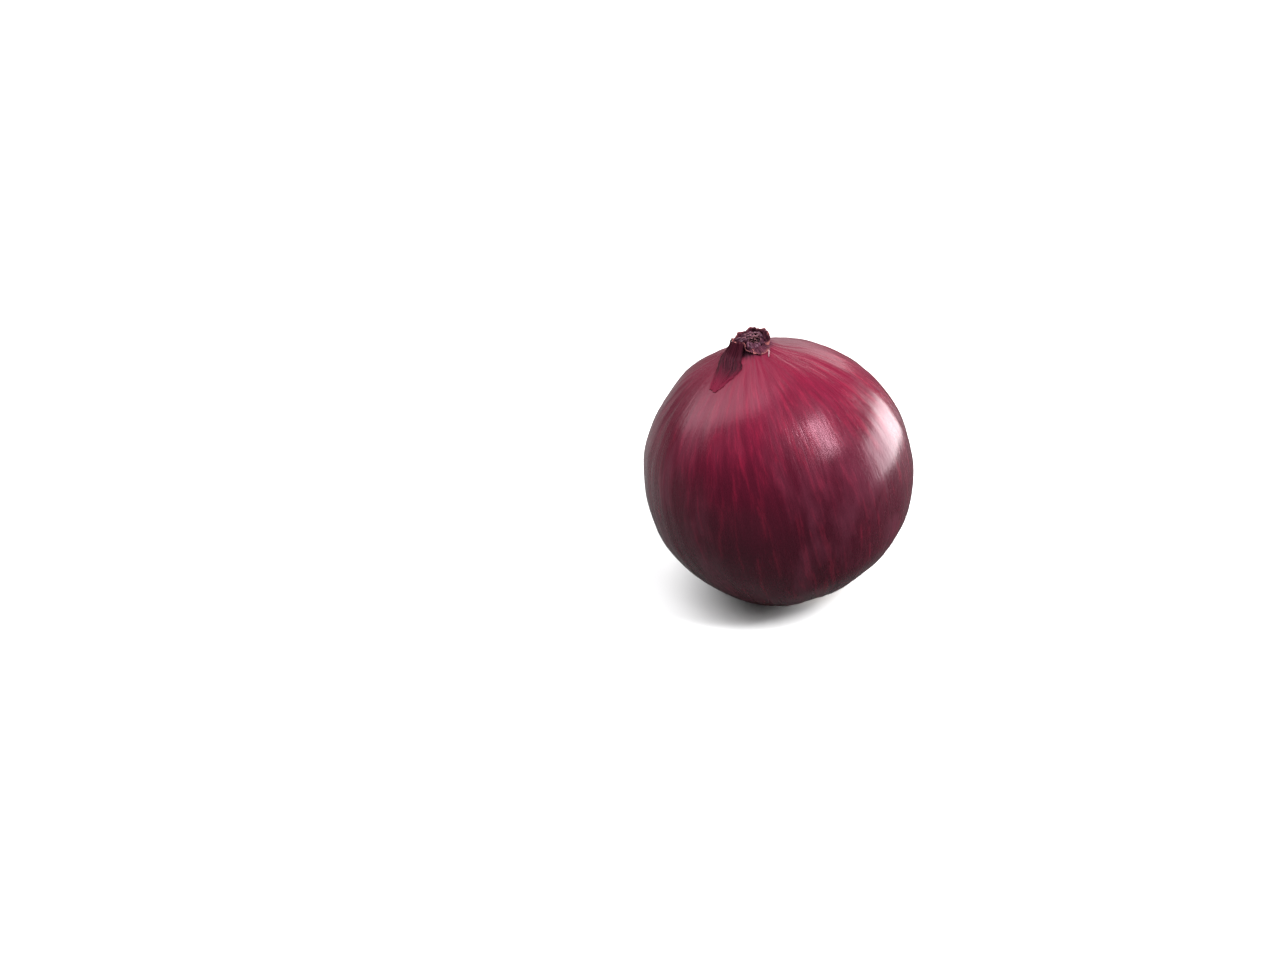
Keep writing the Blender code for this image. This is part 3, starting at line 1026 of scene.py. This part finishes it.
# %% Finish of the roots
wiry = Finish("wiry_root", 0.75, specular=0.3)
fleck = wiry.noise(wiry.add("TexCoord", out=3), 1400.0, 3.0, 0.6)
stain = wiry.noise(wiry.add("TexCoord", out=3), 220.0, 2.0, 0.5)
straw = wiry.mix(wiry.band(fleck, 0.35, 0.68), (0.22, 0.14, 0.07), (0.56, 0.43, 0.26))
straw = wiry.mix(wiry.band(stain, 0.50, 0.68) * 0.6, straw, (0.20, 0.10, 0.07))
wiry.finish(straw, bump=((fleck, 0.0001),))
wiry.put_on(tuft)
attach(tuft, "root")
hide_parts("root_tuft")
print("materials:", len(bpy.data.materials))

# %% [markdown]
# The onion stands on a wide sheet of pale paper. A glossy onion mirrors what lies round it, and on a
# bare white sheet its lower half would look milky. So the Light Path node gives the paper three
# values: pale where the camera sees it, darker as bounced light, and darkest as a mirror image.
# There it is darker on the right than on the left, as if dark things stood on that side.

# %% The floor
start_clean()
bpy.ops.mesh.primitive_plane_add(size=6.0, location=(0.0, 0.0, 0.0))
floor = bpy.context.object
floor.name = "studio_floor"
PALE_PAPER, BOUNCED_PAPER = (0.74, 0.74, 0.745), (0.40, 0.40, 0.405)
MIRRORED_LEFT, MIRRORED_RIGHT = (0.19, 0.19, 0.19), (0.05, 0.05, 0.05)
paper = Finish("studio_paper", 0.9, specular=0.1)
seen, mirrored = paper.add("LightPath", out=0), paper.add("LightPath", out=3)
plain = paper.mix(seen, BOUNCED_PAPER, PALE_PAPER)
across = paper.add("SeparateXYZ", None, {"Vector": paper.add("TexCoord", out=3)}, out=0)
dimmed = paper.mix(paper.band(across, -0.06, 0.06), MIRRORED_LEFT, MIRRORED_RIGHT)
paper.finish(paper.mix(mirrored, plain, dimmed))
paper.put_on(floor)
print("floor:", floor.name)

# %% [markdown]
# The light is soft and comes from five boxes. A small near one makes the long glint on the right, a
# narrow high one the glint in the middle, and wide ones the sheen on the left shoulder, the even
# light from above and the pale line at the back. The camera doesn't see the boxes themselves.

# %% Soft light
SOFTBOXES = (  # name, heading and height in degrees, distance, width and height in metres, watts
    ("right_softbox", 24.0, 8.5, 0.36, 0.290, 0.178, 3.1),
    ("key_softbox", -33.0, 51.0, 1.5, 0.28, 0.54, 35.0),
    ("fill_softbox", -42.0, 58.0, 1.7, 1.50, 1.20, 17.0),
    ("left_softbox", 161.0, 49.0, 1.5, 1.00, 1.75, 43.0),
    ("back_softbox", 86.0, 17.0, 1.9, 1.5, 0.6, 13.0),
)
WORLD_LIGHT = 0.08


def softbox(name, heading_deg, height_deg, distance, width, tall, power):
    """A rectangular light that faces the onion's middle."""
    turn, rise = math.radians(heading_deg), math.radians(height_deg)
    way = Vector((math.cos(turn) * math.cos(rise), math.sin(turn) * math.cos(rise), math.sin(rise)))
    target = Vector((0.0, 0.0, 0.04))
    start_clean()
    bpy.ops.object.light_add(type="AREA", location=target + way * distance)
    light = bpy.context.object
    light.name = name
    light.rotation_euler = way.to_track_quat("Z", "Y").to_euler()
    light.data.shape = "RECTANGLE"
    light.data.size, light.data.size_y = width, tall
    light.data.energy = power
    light.visible_camera = False


for box in SOFTBOXES:
    softbox(*box)
world = bpy.data.worlds.new("studio")
bpy.context.scene.world = world
world.use_nodes = True
background = world.node_tree.nodes["Background"]
background.inputs["Color"].default_value = (1.0, 1.0, 1.0, 1.0)
background.inputs["Strength"].default_value = WORLD_LIGHT
bpy.context.scene.view_settings.view_transform = "Standard"
print("soft boxes:", len(SOFTBOXES))

# %% [markdown]
# The camera looks down at the onion by 30 degrees, from nearly a metre away and through a long lens,
# so the perspective is mild. It aims a little past the onion, which then stands right of the middle.

# %% Camera
CAMERA_HEIGHT_DEG = 30.0
CAMERA_DISTANCE = 0.916
CAMERA_LENS = 85.0
ASIDE, BELOW = 0.0421, 0.0041  # how far left of the onion's middle, and below it, the camera aims
rise = math.radians(CAMERA_HEIGHT_DEG)
back = Vector((0.0, -math.cos(rise), math.sin(rise)))
up = Vector((0.0, math.sin(rise), math.cos(rise)))
centre = Vector((0.0, 0.0, 0.040))
start_clean()
bpy.ops.object.camera_add(location=centre + back * CAMERA_DISTANCE)
camera = bpy.context.object
aim = centre - Vector((1, 0, 0)) * ASIDE - up * BELOW
camera.rotation_euler = (camera.location - aim).to_track_quat("Z", "Y").to_euler()
camera.data.lens = CAMERA_LENS
bpy.context.scene.camera = camera
print("camera at, mm:", [round(v / MM) for v in camera.location])
